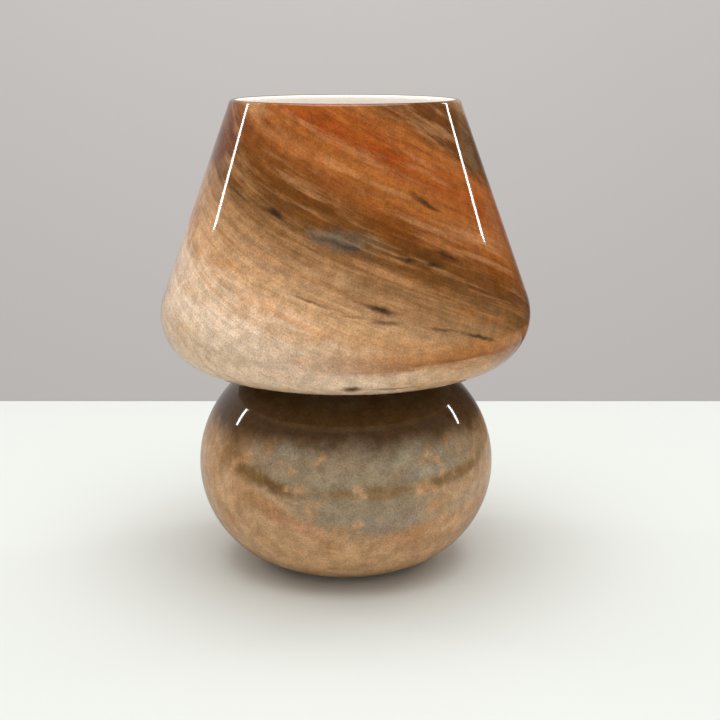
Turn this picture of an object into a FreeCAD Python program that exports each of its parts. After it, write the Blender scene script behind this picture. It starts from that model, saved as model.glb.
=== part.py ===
import FreeCAD, Part
import math
import os
from FreeCAD import Vector

# Mushroom table lamp, blown in one piece of cased glass: an open truncated-cone shade with a rounded
# shoulder, a drawn-in neck and a squashed ball for a base.  A lampholder stands on a pressed plate that
# closes the neck from above.  A cross bar pulls up under the neck and clamps the plate through a threaded
# tube.  A small screw-cap bulb sits in the lampholder, and the cord comes in by a grommet low at the back.
#
# Millimetres.  +Z is up, the origin is on the table under the lamp's axis, the front faces -Y.

# ---- Driving dimensions: the glass ------------------------------------------------------------------
lamp_height = 240.0          # table to the top of the rim
shade_radius = 95.0          # widest ring of the shade
rim_radius = 58.0            # outside of the open top
shoulder_arc = 26.5          # rounding of the shade's widest ring, in section
shoulder_rise = 25.5         # widest ring above the middle of the neck
underside_arc = 40.0         # section of the shade's underside, from the shoulder to the neck
neck_radius = 36.5           # narrowest ring, outside
neck_arc = 4.0               # rounding in the crease of the neck
base_radius = 77.0           # widest ring of the base
belly_height = 52.5          # widest ring of the base above the table
base_side_arc = 58.0         # section of the base from its widest ring upwards
base_top_arc = 35.5          # tighter section where the base turns in to the neck
base_top_turn = 42.5         # degrees up the side where that tighter arc begins
foot_radius = 42.0           # outside of the ground foot ring
opening_radius = 30.0        # hole ground in the bottom, through which the fitting is put in
glass_wall = 4.0
foot_thickness = 5.0         # glass left at the edge of that hole, where the wall settles thicker

# ---- Driving dimensions: what touches the glass -----------------------------------------------------
pad_count = 4
pad_radius = 4.0
pad_height = 1.5
pad_bevel = 0.3
cord_hole_drop = 40.0        # degrees below level of the drilled hole's axis, square to the wall
grommet_bore_radius = 3.25
grommet_sleeve_wall = 2.0
grommet_flange_width = 2.6   # how far each flange reaches past the sleeve
grommet_flange_thickness = 1.8
grommet_bite = 0.6           # rubber behind each flange, cut away to the curve of the glass
gasket_width = 9.0
gasket_height = 1.5          # rubber above the top of the glass lip

# ---- Driving dimensions: the clamp ------------------------------------------------------------------
plate_thickness = 1.5
plate_overhang = 1.2         # plate past the gasket
plate_lip_depth = 2.5        # turned-down edge of the plate
dish_depth = 8.5
dish_clearance = 3.5         # dish to the narrowest glass
dish_draft = 5.0             # how much the dish narrows towards its floor
thread_radius = 5.0          # M10 x 1 tube and nuts
thread_gap = 0.05
tube_bore_radius = 3.7
tube_above_nut = 7.0
tube_below_nut = 3.0
tube_bevel = 0.6
bar_reach = 3.0              # bar's tips past the middle of the neck's rounding
bar_width = 14.0
bar_thickness = 2.5
tip_wall = 2.0
tip_length = 11.0
nut_flats = 14.0
nut_height = 4.0
washer_radius = 9.0
washer_thickness = 1.0
tooth_count = 10

# ---- Driving dimensions: the lampholder -------------------------------------------------------------
holder_radius = 14.0
holder_wall = 1.8
cap_height = 26.0
cap_collar_radius = 9.0      # narrow lower end of the cap, round the threaded insert
cap_collar_height = 5.5
insert_wall = 2.0
insert_height = 8.0
block_height = 12.0
block_ledge = 2.0            # shelf in the cap that carries the terminal block
skirt_height = 22.0
skirt_spigot = 3.0           # how far the skirt plugs into the cap
grip_rib_count = 16
grip_rib_radius = 0.7
grip_rib_margin = 2.0        # plain wall above and below the ribs
socket_thread_length = 8.5
socket_lead = 0.8            # bevel at the socket's mouth
moulding_bevel = 1.0         # outer edges of the mouldings
contact_strip = 0.5          # thickness of the sprung brass
contact_lift = 4.5           # top of the centre contact above the terminal block
contact_width = 5.0
contact_reach = 6.6          # axis to the fold of the centre contact
contact_foot = 3.5           # length of the side contact's foot on the terminal block
side_contact_drop = 2.5      # bow of the side contact below the socket's thread
contact_gap = 0.35           # contacts, drawn pressed back, to the bulb
terminal_offset = 6.6        # axis to each terminal
well_depth = 4.0
well_gap = 0.4
screw_head_radius = 2.2
screw_head_height = 1.6
screw_length = 4.0
screw_radius = 1.5
lock_screw_proud = 1.0
fit_gap = 0.1                # between moulded pieces that plug together

# ---- Driving dimensions: the bulb -------------------------------------------------------------------
shell_radius = 6.85          # E14 screw shell, at the middle of its thread
shell_gap = 0.45             # shell to the socket's bore
shell_wall = 0.35
shell_lip = 0.8              # how far the shell's bottom edge is rolled in
insulator_height = 5.0
insulator_plug = 1.0         # straight top of the insulator, gripped by the rolled edge
button_radius = 2.4
button_height = 1.5
stem_radius = 1.0
bulb_shoulder_radius = 12.0
bulb_gap = 1.0               # bulb's collar above the lampholder
collar_height = 20.0
collar_wall = 1.6
collar_sleeve = 5.0          # collar's tube inside the screw shell
globe_radius = 22.5
globe_wall = 1.2
globe_sink = 14.7            # centre of the globe above the collar
globe_seat = 0.8             # collar past the globe's edge
board_thickness = 1.6
board_drop = 3.0             # LED board's underside below the top of the collar
board_ledge = 2.0            # shelf in the collar that carries the LED board
chip_count = 8
chip_length = 3.5
chip_width = 2.8
chip_height = 0.8
chip_inset = 8.8             # axis to the inner end of each LED
driver_width = 12.0
driver_board = 1.2
capacitor_radius = 2.5
capacitor_length = 7.0
coil_size = 4.5

OUT = "parts"
UP = Vector(0, 0, 1)
ORIGIN = Vector(0, 0, 0)


# ---- Helpers ----------------------------------------------------------------------------------------
def polar(centre, radius, degrees):
    """Point of a section circle; a section is drawn in the XZ plane, with X as the radius."""
    a = math.radians(degrees)
    return Vector(centre.x + radius * math.cos(a), 0, centre.z + radius * math.sin(a))


def heading(start, end):
    """Direction from start to end in the section, in degrees."""
    return math.degrees(math.atan2(end.z - start.z, end.x - start.x))


def arc(centre, radius, start, end):
    """Edge along a section circle from angle start to angle end."""
    middle = polar(centre, radius, (start + end) / 2)
    return Part.Arc(polar(centre, radius, start), middle, polar(centre, radius, end)).toShape()


def line(start, end):
    return Part.makeLine(start, end)


def lathe(edges):
    """Solid of revolution about Z from a closed section."""
    return Part.Face(Part.Wire(edges)).revolve(ORIGIN, UP, 360)


def lathe_points(points):
    """Solid of revolution from the corners of a section, given as (radius, height)."""
    corners = [Vector(r, 0, z) for r, z in points]
    return Part.Face(Part.makePolygon(corners + corners[:1])).revolve(ORIGIN, UP, 360)


def ring(outer, inner, bottom, height):
    """Washer-like ring about Z."""
    top = bottom + height
    return lathe_points([(inner, bottom), (outer, bottom), (outer, top), (inner, top)])


def around(shape, count, start=0.0):
    """Copies of a shape evenly round the axis, as separate solids."""
    copies = []
    for i in range(count):
        copy = shape.copy()
        copy.rotate(ORIGIN, UP, start + 360.0 * i / count)
        copies.append(copy)
    return copies


def strip(points, thickness, width):
    """Bent metal strip: its path in the XZ plane, thickened to one side, centred on Y."""
    path = Part.makePolygon([Vector(x, 0, z) for x, z in points])
    section = path.makeOffset2D(thickness, 0, True, True)
    solid = section.extrude(Vector(0, width, 0))
    solid.translate(Vector(0, -width / 2, 0))
    return solid


def hex_nut(bottom):
    """Thin hexagon nut with its corners turned down on both faces."""
    corner = nut_flats / 2 / math.cos(math.radians(30))
    corners = [polar(ORIGIN, corner, 60 * i) for i in range(7)]
    outline = Part.makePolygon([Vector(p.x, p.z, bottom) for p in corners])
    prism = Part.Face(outline).extrude(Vector(0, 0, nut_height))
    bevel = corner - nut_flats / 2
    top = bottom + nut_height
    inner = nut_flats / 2
    barrel = lathe_points([(0, bottom), (inner, bottom), (corner, bottom + bevel / 2),
                           (corner, top - bevel / 2), (inner, top), (0, top)])
    bore = Part.makeCylinder(thread_radius + thread_gap, nut_height, Vector(0, 0, bottom))
    return prism.common(barrel).cut(bore)


# ---- Section of the glass: circles that touch, so that the wall stays even --------------------------
def circles_touching(a, reach_a, b, reach_b):
    """Centre that lies reach_a from a and reach_b from b, on the upper side."""
    gap = b.sub(a)
    span = gap.Length
    along = (reach_a ** 2 - reach_b ** 2 + span ** 2) / (2 * span)
    across = math.sqrt(reach_a ** 2 - along ** 2)
    unit = gap.multiply(1 / span)
    side = Vector(unit.z, 0, -unit.x)
    if side.z < 0:
        side = side.negative()
    return a.add(Vector(unit).multiply(along)).add(side.multiply(across))


def lower_arc(edge_radius, end):
    """Circle that stands upright at the belly, at edge_radius, and passes through end."""
    inward = edge_radius - end.x
    down = belly_height - end.z
    radius = (inward ** 2 + down ** 2) / (2 * inward)
    return Vector(edge_radius - radius, 0, belly_height), radius


side_centre = Vector(base_radius - base_side_arc, 0, belly_height)
top_centre = polar(side_centre, base_side_arc - base_top_arc, base_top_turn)
neck_centre_radius = neck_radius + neck_arc
neck_centre = Vector(
    neck_centre_radius, 0,
    top_centre.z + math.sqrt((base_top_arc + neck_arc) ** 2 - (neck_centre_radius - top_centre.x) ** 2))
shoulder_centre = Vector(shade_radius - shoulder_arc, 0, neck_centre.z + shoulder_rise)
underside_centre = circles_touching(
    shoulder_centre, underside_arc - shoulder_arc, neck_centre, underside_arc + neck_arc)
rim_centre = Vector(rim_radius - glass_wall / 2, 0, lamp_height - glass_wall / 2)
lip_arc = neck_arc + glass_wall               # the neck's rounding seen from inside
throat_radius = neck_radius - glass_wall
lip_top = neck_centre.z + lip_arc


def cone_normal():
    """Direction square to the shade's straight wall, in degrees above level."""
    reach = rim_centre.sub(shoulder_centre)
    lean = math.degrees(math.acos((shoulder_arc - glass_wall / 2) / reach.Length))
    return heading(shoulder_centre, rim_centre) - lean


def glass_side(depth, foot_end):
    """Edges of one face of the wall, depth inside the outer face, from the foot up to the rim."""
    foot_centre, foot_arc = lower_arc(base_radius - depth, foot_end)
    neck_from_top = heading(neck_centre, top_centre)
    neck_to_underside = heading(neck_centre, underside_centre)
    underside_from_neck = heading(underside_centre, neck_centre)
    underside_to_shoulder = heading(underside_centre, shoulder_centre)
    normal = cone_normal()
    concave = neck_arc + depth
    return [
        arc(foot_centre, foot_arc, heading(foot_centre, foot_end), 0),
        arc(side_centre, base_side_arc - depth, 0, base_top_turn),
        arc(top_centre, base_top_arc - depth, base_top_turn, heading(top_centre, neck_centre)),
        arc(neck_centre, concave, neck_from_top + 360, neck_to_underside),
        arc(underside_centre, underside_arc - depth, underside_from_neck, underside_to_shoulder),
        arc(shoulder_centre, shoulder_arc - depth, underside_to_shoulder, normal),
        line(polar(shoulder_centre, shoulder_arc - depth, normal),
             polar(rim_centre, glass_wall / 2 - depth, normal)),
    ]


def glass_section():
    """Closed section of the wall: outer face, fire-polished rim, inner face, ground foot."""
    outer_foot = Vector(foot_radius, 0, pad_height)
    inner_foot = Vector(opening_radius, 0, pad_height + foot_thickness)
    hole_edge = Vector(opening_radius, 0, pad_height)
    normal = cone_normal()
    rim = arc(rim_centre, glass_wall / 2, normal, normal + 180)
    inner = glass_side(glass_wall, inner_foot)
    return (glass_side(0, outer_foot) + [rim] + inner[::-1]
            + [line(inner_foot, hole_edge), line(hole_edge, outer_foot)])


# ---- Where the cord hole is -------------------------------------------------------------------------
hole_radius = grommet_bore_radius + grommet_sleeve_wall
hole_circle, hole_circle_radius = lower_arc(base_radius, Vector(foot_radius, 0, pad_height))
hole_mouth = polar(hole_circle, hole_circle_radius, -cord_hole_drop)


def to_cord_hole(shape):
    """Moves a shape made along Z, with the wall's outer face at Z = 0, onto the cord hole at the back."""
    shape.rotate(ORIGIN, Vector(1, 0, 0), -90 - cord_hole_drop)
    shape.translate(Vector(0, hole_mouth.x, hole_mouth.z))
    return shape


# ---- Glass, pads, grommet ---------------------------------------------------------------------------
def make_glass_body():
    body = lathe(glass_section())
    drill_reach = 4 * glass_wall
    drill = Part.makeCylinder(hole_radius, 2 * drill_reach, Vector(0, 0, -drill_reach))
    return body.cut(to_cord_hole(drill))


def make_foot_pads():
    """Clear bumpers in the middle of the ground ring, with a small bevel at the table."""
    middle = (foot_radius + opening_radius) / 2
    pad = lathe_points([(0, 0), (pad_radius - pad_bevel, 0), (pad_radius, pad_bevel),
                        (pad_radius, pad_height), (0, pad_height)])
    pad.translate(Vector(middle, 0, 0))
    return Part.makeCompound(around(pad, pad_count, 45))


def make_cord_grommet(glass):
    """Rubber grommet: a sleeve through the wall with a flange on each side, seated on the curved glass."""
    flange = hole_radius + grommet_flange_width
    top = grommet_flange_thickness
    inside = -glass_wall - grommet_flange_thickness - grommet_bite
    sleeve = hole_radius - thread_gap
    soft = top / 2
    section = [(grommet_bore_radius, inside), (flange - soft, inside), (flange, inside + soft),
               (flange, grommet_bite - glass_wall), (sleeve, grommet_bite - glass_wall),
               (sleeve, -grommet_bite), (flange, -grommet_bite), (flange, top - soft), (flange - soft, top),
               (grommet_bore_radius, top)]
    return to_cord_hole(lathe_points(section)).cut(glass)


# ---- Clamp through the neck -------------------------------------------------------------------------
plate_seat = lip_top + gasket_height
gasket_outer = neck_centre_radius + gasket_width / 2
gasket_inner = neck_centre_radius - gasket_width / 2
plate_radius = gasket_outer + plate_overhang
dish_radius = throat_radius - dish_clearance
dish_floor = plate_seat - dish_depth          # underside of the dish
dish_top = dish_floor + plate_thickness
plate_nut_bottom = dish_top + washer_thickness
holder_bottom = plate_nut_bottom + nut_height
tube_hole_radius = thread_radius + 2 * fit_gap

tip_end = neck_centre_radius + bar_reach
bar_end = tip_end - tip_wall                               # half the bar's length
tip_top = neck_centre.z - lip_arc + tip_wall / 2           # rubber that the glass bites into
bar_top = tip_top - tip_wall
bar_bottom = bar_top - bar_thickness
bar_nut_bottom = bar_bottom - washer_thickness - nut_height
tube_bottom = bar_nut_bottom - tube_below_nut
tube_top = holder_bottom + tube_above_nut


def make_throat_gasket(glass):
    """Silicone ring moulded over the glass lip."""
    return ring(gasket_outer, gasket_inner, lip_top - gasket_height, 2 * gasket_height).cut(glass)


def make_throat_plate():
    """Pressed steel plate with a turned-down edge and a dish for the nut."""
    t = plate_thickness
    seat = plate_seat
    edge = seat + t - plate_lip_depth
    floor_radius = dish_radius - dish_draft
    section = [(tube_hole_radius, dish_floor), (floor_radius, dish_floor), (dish_radius, seat),
               (plate_radius, seat), (plate_radius, edge), (plate_radius + t, edge),
               (plate_radius + t, seat + t / 2), (plate_radius + t / 2, seat + t),
               (dish_radius - t / 2, seat + t), (floor_radius - t / 2, dish_top),
               (tube_hole_radius, dish_top)]
    return lathe_points(section)


def rounded_bar(half_length, width, bottom, height):
    """Flat bar along X with rounded ends."""
    corner = width / 4
    block = Part.makeBox(2 * half_length, width, height, Vector(-half_length, -width / 2, bottom))
    upright = [e for e in block.Edges if abs(e.tangentAt(e.FirstParameter).z) > 0.9]
    return block.makeFillet(corner, upright)


def make_cross_bar():
    bar = rounded_bar(bar_end, bar_width, bar_bottom, bar_thickness)
    hole = Part.makeCylinder(tube_hole_radius, bar_thickness, Vector(0, 0, bar_bottom))
    return bar.cut(hole)


def make_bar_tips(glass):
    """Rubber caps on the bar's ends, pressed to the glass under the neck."""
    cap = rounded_bar(tip_end, bar_width + 2 * tip_wall, bar_bottom - tip_wall, bar_thickness + 2 * tip_wall)
    middle = Part.makeBox(2 * (tip_end - tip_length), 4 * bar_width, 4 * bar_width,
                          Vector(tip_length - tip_end, -2 * bar_width, bar_bottom - 2 * bar_width))
    bar = rounded_bar(bar_end, bar_width, bar_bottom, bar_thickness)
    ends = cap.cut(middle).cut(bar).cut(glass)
    return Part.makeCompound(ends.Solids)


def make_threaded_tube():
    """M10 x 1 tube that the cord climbs through, with bevelled ends."""
    r = thread_radius
    b = tube_bevel
    return lathe_points([(tube_bore_radius, tube_bottom), (r - b, tube_bottom), (r, tube_bottom + b),
                         (r, tube_top - b), (r - b, tube_top), (tube_bore_radius, tube_top)])


def make_plate_washer():
    return ring(washer_radius, thread_radius + thread_gap, dish_top, washer_thickness)


def make_plate_nut():
    return hex_nut(plate_nut_bottom)


def make_tooth_washer():
    """Lock washer with teeth cut in its edge, between the bar and its nut."""
    bottom = bar_bottom - washer_thickness
    blank = ring(washer_radius, thread_radius + thread_gap, bottom, washer_thickness)
    depth = (washer_radius - thread_radius) / 2
    notch = Part.makeCylinder(depth / 2, washer_thickness, Vector(washer_radius - depth / 4, 0, bottom))
    return blank.cut(Part.makeCompound(around(notch, tooth_count)))


def make_bar_nut():
    return hex_nut(bar_nut_bottom)


# ---- Lampholder -------------------------------------------------------------------------------------
cap_top = holder_bottom + cap_height
cap_inner = holder_radius - holder_wall
block_radius = cap_inner - fit_gap
block_top = cap_top - skirt_spigot - fit_gap
block_bottom = block_top - block_height
insert_radius = thread_radius + insert_wall
skirt_top = cap_top + skirt_height
thread_bottom = skirt_top - socket_thread_length
contact_top = block_top + contact_lift
side_contact_height = thread_bottom - side_contact_drop
socket_bore = shell_radius + shell_gap
spigot_radius = cap_inner - fit_gap
socket_cavity = spigot_radius - holder_wall
lock_screw_height = holder_bottom + cap_collar_height / 2
well_radius = screw_head_radius + well_gap


def lock_screw_blank(radius, start, end):
    """Cylinder along +X at the height of the lock screw, between two distances from the axis."""
    return Part.makeCylinder(radius, end - start, Vector(start, 0, lock_screw_height), Vector(1, 0, 0))


def lock_screw_hole():
    return lock_screw_blank(screw_radius + fit_gap, 0, holder_radius)


def make_holder_cap():
    """Moulded lower half: a collar round the insert that swells to the full width, with grip ribs."""
    z = holder_bottom
    swell = holder_radius - cap_collar_radius
    flare = Vector(cap_collar_radius, 0, z + cap_collar_height + swell)
    side = Vector(holder_radius, 0, flare.z)
    section = [
        line(Vector(insert_radius + thread_gap, 0, z), Vector(cap_collar_radius, 0, z)),
        line(Vector(cap_collar_radius, 0, z), Vector(cap_collar_radius, 0, z + cap_collar_height)),
        arc(flare, swell, -90, 0),
        line(side, Vector(holder_radius, 0, cap_top)),
        line(Vector(holder_radius, 0, cap_top), Vector(cap_inner, 0, cap_top)),
        line(Vector(cap_inner, 0, cap_top), Vector(cap_inner, 0, block_bottom)),
        line(Vector(cap_inner, 0, block_bottom), Vector(cap_inner - block_ledge, 0, block_bottom)),
        line(Vector(cap_inner - block_ledge, 0, block_bottom), Vector(insert_radius + thread_gap, 0, z)),
    ]
    body = lathe(section)
    rib_bottom = flare.z + grip_rib_margin
    rib_height = cap_top - grip_rib_margin - rib_bottom
    rib = Part.makeCylinder(grip_rib_radius, rib_height, Vector(holder_radius, 0, rib_bottom))
    body = body.fuse(around(rib, grip_rib_count))
    seat = Part.makeCylinder(insert_radius + thread_gap, insert_height, Vector(0, 0, z))
    return body.cut(seat).cut(lock_screw_hole()).removeSplitter()


def make_holder_insert():
    """Threaded steel insert in the cap, by which the lampholder screws onto the tube."""
    collar = ring(insert_radius, thread_radius + thread_gap, holder_bottom, insert_height - fit_gap)
    return collar.cut(lock_screw_hole())


def make_lock_screw():
    """Slotted grub screw that stops the lampholder turning on the tube."""
    tip = cap_collar_radius + lock_screw_proud
    slot_size = screw_radius / 2
    screw = lock_screw_blank(screw_radius, thread_radius + thread_gap, tip)
    slot = Part.makeBox(2 * slot_size, slot_size, 4 * screw_radius,
                        Vector(tip - slot_size, -slot_size / 2, lock_screw_height - 2 * screw_radius))
    return screw.cut(slot)


def terminal_places():
    """Centres of the two terminals, either side of the axis."""
    return [Vector(0, terminal_offset, 0), Vector(0, -terminal_offset, 0)]


def make_terminal_block():
    """Insulating block with two wire ports below and a screw well over each."""
    block = Part.makeCylinder(block_radius, block_height, Vector(0, 0, block_bottom))
    for place in terminal_places():
        well = Part.makeCylinder(well_radius, well_depth, place + Vector(0, 0, block_top - well_depth))
        port = Part.makeCylinder(screw_radius, block_height, place + Vector(0, 0, block_bottom))
        block = block.cut(well).cut(port)
    return block


def make_terminal_screws():
    """Two slotted screws, down in their wells."""
    slot = screw_head_height / 2
    screws = []
    for place in terminal_places():
        seat = place + Vector(0, 0, block_top - well_depth)
        head = Part.makeCylinder(screw_head_radius, screw_head_height, seat)
        shank = Part.makeCylinder(screw_radius - fit_gap, screw_length, seat - Vector(0, 0, screw_length))
        groove = Part.makeBox(2 * screw_head_radius, slot, slot,
                              seat + Vector(-screw_head_radius, -slot / 2, slot))
        screws.append(head.fuse(shank).cut(groove).removeSplitter())
    return Part.makeCompound(screws)


def make_centre_contact():
    """Sprung brass tongue folded back over the axis, under the bulb's button."""
    path = [(-contact_reach / 2, block_top), (contact_reach, block_top),
            (contact_reach + contact_lift / 4, block_top + contact_lift / 2),
            (button_radius, contact_top), (-button_radius, contact_top)]
    return strip(path, contact_strip, contact_width)


def make_side_contact():
    """Brass tongue up the side of the socket, bowed in against the screw shell."""
    outer = socket_cavity - 3 * contact_strip
    lean = contact_strip
    path = [(contact_foot - outer, block_top + contact_strip), (-outer, block_top + contact_strip),
            (lean - outer, (block_top + side_contact_height) / 2),
            (-shell_radius - contact_gap, side_contact_height), (lean - outer, thread_bottom - fit_gap)]
    return strip(path, contact_strip, contact_width)


def make_holder_skirt():
    """Moulded upper half with the socket's bore; its spigot plugs into the cap."""
    soft = moulding_bevel
    low = cap_top - skirt_spigot
    return lathe_points([
        (socket_cavity, low), (spigot_radius, low), (spigot_radius, cap_top), (holder_radius, cap_top),
        (holder_radius, skirt_top - soft), (holder_radius - soft, skirt_top),
        (socket_bore + socket_lead, skirt_top), (socket_bore, skirt_top - socket_lead),
        (socket_bore, thread_bottom), (socket_cavity, thread_bottom)])


# ---- Bulb -------------------------------------------------------------------------------------------
button_bottom = contact_top + contact_gap
insulator_bottom = button_bottom + button_height
insulator_top = insulator_bottom + insulator_height
shell_bottom = insulator_top - insulator_plug
plug_radius = shell_radius - shell_wall - shell_lip
collar_bottom = skirt_top + bulb_gap
collar_top = collar_bottom + collar_height
globe_centre = collar_top + globe_sink
globe_edge = math.sqrt(globe_radius ** 2 - globe_sink ** 2)
globe_edge_inner = math.sqrt((globe_radius - globe_wall) ** 2 - globe_sink ** 2)
collar_top_radius = globe_edge + globe_seat
board_radius = globe_edge_inner - globe_seat
board_bottom = collar_top - board_drop
board_top = board_bottom + board_thickness


def make_bulb_button():
    """Centre contact: a brass button on a short stem."""
    stem = Part.makeCylinder(stem_radius, insulator_height / 2, Vector(0, 0, insulator_bottom))
    soft = button_height / 3
    button = lathe_points([(0, button_bottom), (button_radius - soft, button_bottom),
                           (button_radius, button_bottom + soft), (button_radius, insulator_bottom),
                           (0, insulator_bottom)])
    return button.fuse(stem).removeSplitter()


def make_bulb_insulator():
    """Black glass cone between the button and the shell."""
    bore = stem_radius + thread_gap
    return lathe_points([(bore, insulator_bottom), (button_radius + stem_radius, insulator_bottom),
                         (plug_radius, shell_bottom), (plug_radius, insulator_top), (bore, insulator_top)])


def make_bulb_shell():
    """Nickelled screw shell with a rolled-in bottom edge; its thread is left plain."""
    r = shell_radius
    w = shell_wall
    return lathe_points([
        (plug_radius, shell_bottom), (r - shell_lip, shell_bottom), (r, shell_bottom + shell_lip),
        (r, collar_bottom), (r - w, collar_bottom), (r - w, shell_bottom + shell_lip),
        (r - shell_lip, shell_bottom + w), (plug_radius, shell_bottom + w)])


def make_bulb_collar():
    """White moulded collar that flares from the shell to the globe and carries the LED board."""
    w = collar_wall
    soft = moulding_bevel
    neck = shell_radius - shell_wall - fit_gap
    seat = board_radius + fit_gap
    return lathe_points([
        (neck - w, collar_bottom - collar_sleeve), (neck, collar_bottom - collar_sleeve),
        (neck, collar_bottom),
        (bulb_shoulder_radius - soft, collar_bottom), (bulb_shoulder_radius, collar_bottom + soft),
        (collar_top_radius, collar_top), (seat, collar_top), (seat, board_bottom),
        (board_radius - board_ledge, board_bottom), (bulb_shoulder_radius - 1.5 * w, collar_bottom + 2 * w),
        (neck - w, collar_bottom + 2 * w)])


def make_bulb_globe():
    """Opal globe, open where it sits on the collar."""
    outer = Part.makeSphere(globe_radius, Vector(0, 0, globe_centre))
    inner = Part.makeSphere(globe_radius - globe_wall, Vector(0, 0, globe_centre))
    below = Part.makeCylinder(2 * globe_radius, 2 * globe_radius, Vector(0, 0, collar_top - 2 * globe_radius))
    return outer.cut(inner).cut(below)


def make_led_board():
    return Part.makeCylinder(board_radius, board_thickness, Vector(0, 0, board_bottom))


def make_led_chips():
    """Ring of surface-mounted LEDs."""
    chip = Part.makeBox(chip_length, chip_width, chip_height, Vector(chip_inset, -chip_width / 2, board_top))
    return Part.makeCompound(around(chip, chip_count))


def make_led_driver():
    """Upright driver board in the collar, with its capacitor and coil."""
    height = board_bottom - collar_bottom - 3 * collar_wall
    bottom = board_bottom - height
    board = Part.makeBox(driver_width, driver_board, height,
                         Vector(-driver_width / 2, -driver_board / 2, bottom))
    capacitor = Part.makeCylinder(capacitor_radius, capacitor_length,
                                  Vector(-capacitor_radius, capacitor_radius, bottom + driver_board))
    coil = Part.makeBox(coil_size, coil_size, coil_size, Vector(0, -coil_size, bottom + driver_board))
    return board.fuse([capacitor, coil]).removeSplitter()


# ---- Build ------------------------------------------------------------------------------------------
def main():
    os.makedirs(OUT, exist_ok=True)
    glass = make_glass_body()
    nodes = {
        "glass_body": glass,
        "foot_pads": make_foot_pads(),
        "cord_grommet": make_cord_grommet(glass),
        "throat_gasket": make_throat_gasket(glass),
        "throat_plate": make_throat_plate(),
        "cross_bar": make_cross_bar(),
        "bar_tips": make_bar_tips(glass),
        "threaded_tube": make_threaded_tube(),
        "plate_washer": make_plate_washer(),
        "plate_nut": make_plate_nut(),
        "tooth_washer": make_tooth_washer(),
        "bar_nut": make_bar_nut(),
        "holder_cap": make_holder_cap(),
        "holder_insert": make_holder_insert(),
        "lock_screw": make_lock_screw(),
        "terminal_block": make_terminal_block(),
        "terminal_screws": make_terminal_screws(),
        "centre_contact": make_centre_contact(),
        "side_contact": make_side_contact(),
        "holder_skirt": make_holder_skirt(),
        "bulb_button": make_bulb_button(),
        "bulb_insulator": make_bulb_insulator(),
        "bulb_shell": make_bulb_shell(),
        "bulb_collar": make_bulb_collar(),
        "bulb_globe": make_bulb_globe(),
        "led_board": make_led_board(),
        "led_chips": make_led_chips(),
        "led_driver": make_led_driver(),
    }
    for name, shape in nodes.items():
        shape.exportStep(os.path.join(OUT, name + ".step"))
        print(name, len(shape.Solids), "solid", "valid" if shape.isValid() else "NOT VALID",
              round(shape.Volume, 1))


main()
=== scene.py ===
# %% [markdown]
# # A mushroom lamp in cased glass
#
# This lesson dresses a small table lamp.  The lamp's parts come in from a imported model, each one at its real
# place and size, so nothing here is moved or resized.  What the lesson adds is what the eye sees: a smooth
# blown form, swirls of colour inside the glass, screw threads, soft rubber and white enamel.
#
# One Blender unit is a metre.  The lamp stands on the floor at the origin and its front faces -Y.

# %% Load the frame
import math

import bmesh
import bpy
from mathutils import Matrix, Vector


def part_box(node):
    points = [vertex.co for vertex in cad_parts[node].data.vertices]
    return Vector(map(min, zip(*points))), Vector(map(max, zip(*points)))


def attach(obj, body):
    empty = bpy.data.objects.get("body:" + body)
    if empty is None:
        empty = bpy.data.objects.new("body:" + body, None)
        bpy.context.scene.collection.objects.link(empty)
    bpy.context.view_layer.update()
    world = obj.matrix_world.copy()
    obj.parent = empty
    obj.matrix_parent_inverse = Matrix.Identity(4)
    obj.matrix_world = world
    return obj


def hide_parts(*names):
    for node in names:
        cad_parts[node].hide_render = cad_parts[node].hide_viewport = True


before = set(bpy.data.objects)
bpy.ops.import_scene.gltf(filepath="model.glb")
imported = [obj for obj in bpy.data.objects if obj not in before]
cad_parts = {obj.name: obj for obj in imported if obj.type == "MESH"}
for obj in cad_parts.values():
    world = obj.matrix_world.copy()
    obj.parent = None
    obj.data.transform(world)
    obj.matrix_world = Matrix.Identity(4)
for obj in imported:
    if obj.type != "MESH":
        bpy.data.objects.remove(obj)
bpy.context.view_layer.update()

MM = 0.001

# %% [markdown]
# ## Colours
#
# A colour is easiest to choose as an sRGB hex value, as on a paint card.  Light adds up in linear values, and
# Blender's sockets want those, so one function turns the first into the second.


# %% Hex colours to linear
def colour(hex_value):
    """Linear RGBA from an sRGB value such as "C0FFEE"."""
    channels = [int(hex_value[i:i + 2], 16) / 255 for i in (0, 2, 4)]
    return tuple(c / 12.92 if c <= 0.04045 else ((c + 0.055) / 1.055) ** 2.4 for c in channels) + (1.0,)


print("mid grey 808080 is", round(colour("808080")[0], 3), "in linear light")

# %% [markdown]
# ## Materials are small networks
#
# Every finish below is a network of nodes.  One function is enough to build them all: it adds a node, sets the
# node's own options, and fills its inputs with numbers or with the outputs of other nodes.


# %% Add a node, start a material
def add(tree, kind, inputs=None, **settings):
    """Adds a node.  settings are its options; inputs maps a socket's name or number to a value or an output."""
    node = tree.nodes.new(kind)
    for name, value in settings.items():
        setattr(node, name, value)
    for name, value in (inputs or {}).items():
        if isinstance(value, bpy.types.NodeSocket):
            tree.links.new(value, node.inputs[name])
        else:
            node.inputs[name].default_value = value
    return node


def new_material(name, **sockets):
    """A material with one Principled shader; sockets such as Roughness=0.4 are set by their names."""
    material = bpy.data.materials.new(name)
    material.use_nodes = True
    tree = material.node_tree
    tree.nodes.clear()
    shader = add(tree, "ShaderNodeBsdfPrincipled", {k.replace("_", " "): v for k, v in sockets.items()})
    add(tree, "ShaderNodeOutputMaterial", {"Surface": shader.outputs[0]})
    return material, tree, shader


def mix_colour(tree, factor, first, second, blend="MIX"):
    """Output of a colour mix of two colours or outputs."""
    node = add(tree, "ShaderNodeMix", {0: factor, 6: first, 7: second}, data_type="RGBA", blend_type=blend)
    return node.outputs[2]


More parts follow.
